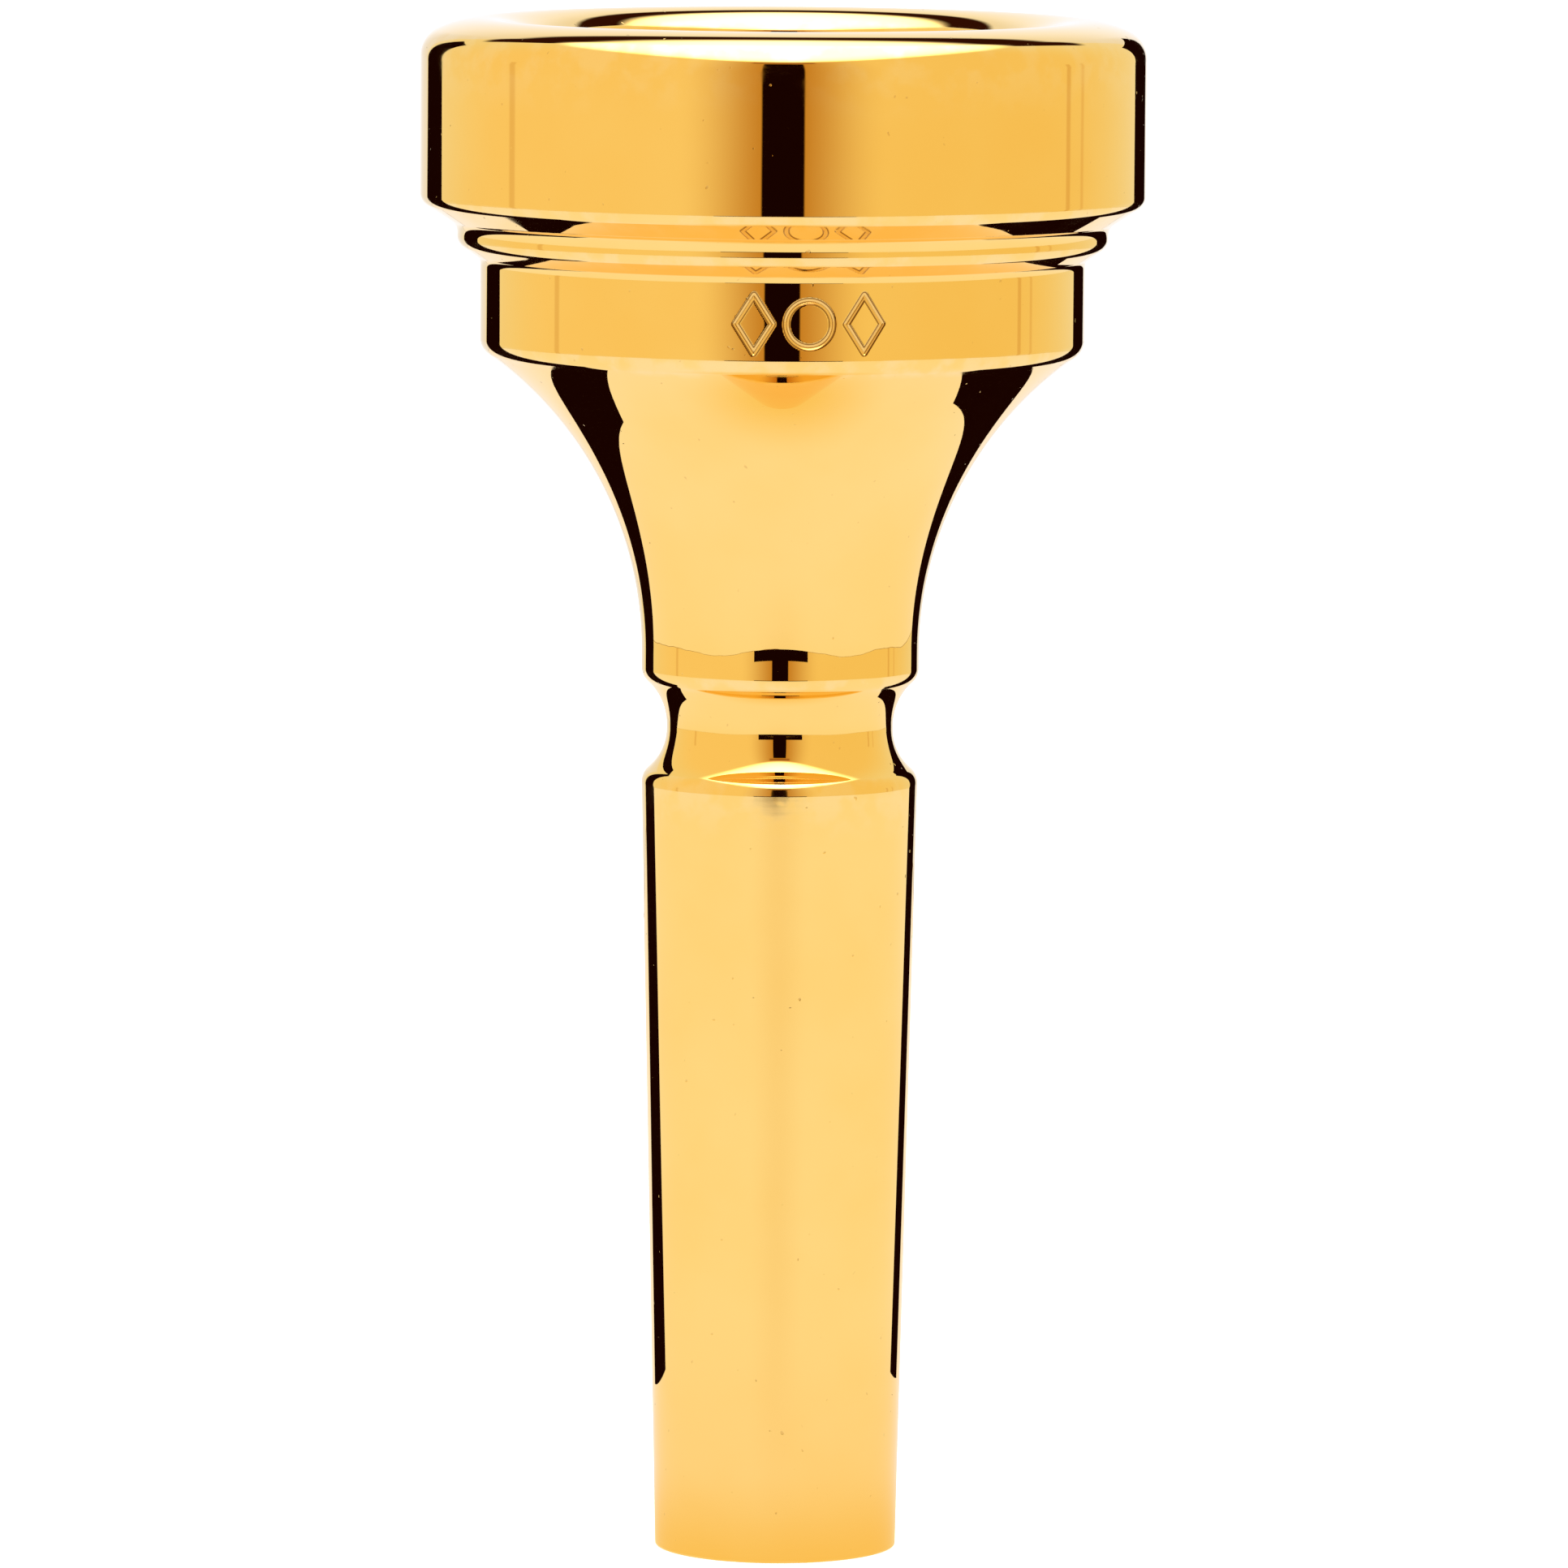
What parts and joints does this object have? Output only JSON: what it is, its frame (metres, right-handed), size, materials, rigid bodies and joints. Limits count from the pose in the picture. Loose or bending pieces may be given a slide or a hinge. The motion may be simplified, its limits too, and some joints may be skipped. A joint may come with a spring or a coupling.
{
  "type": "brass mouthpiece",
  "caption": "One-piece turned brass mouthpiece for a low brass instrument: rounded rim, deep cup, narrow throat and a long tapered shank, gold-plated and polished.",
  "frame": {"origin": "centre of the shank's end face, which is the bottom of the part", "axes": "+Z along the turning axis from the shank's end towards the rim; the engraved ornament is on the -Y side"},
  "size_m": [0.038, 0.038, 0.0807],
  "materials": {
    "gold_plated_brass": "mirror-polished gold plate over turned brass"
  },
  "bodies": {
    "root": {"mouthpiece_body": "gold_plated_brass"}
  },
  "joints": []
}
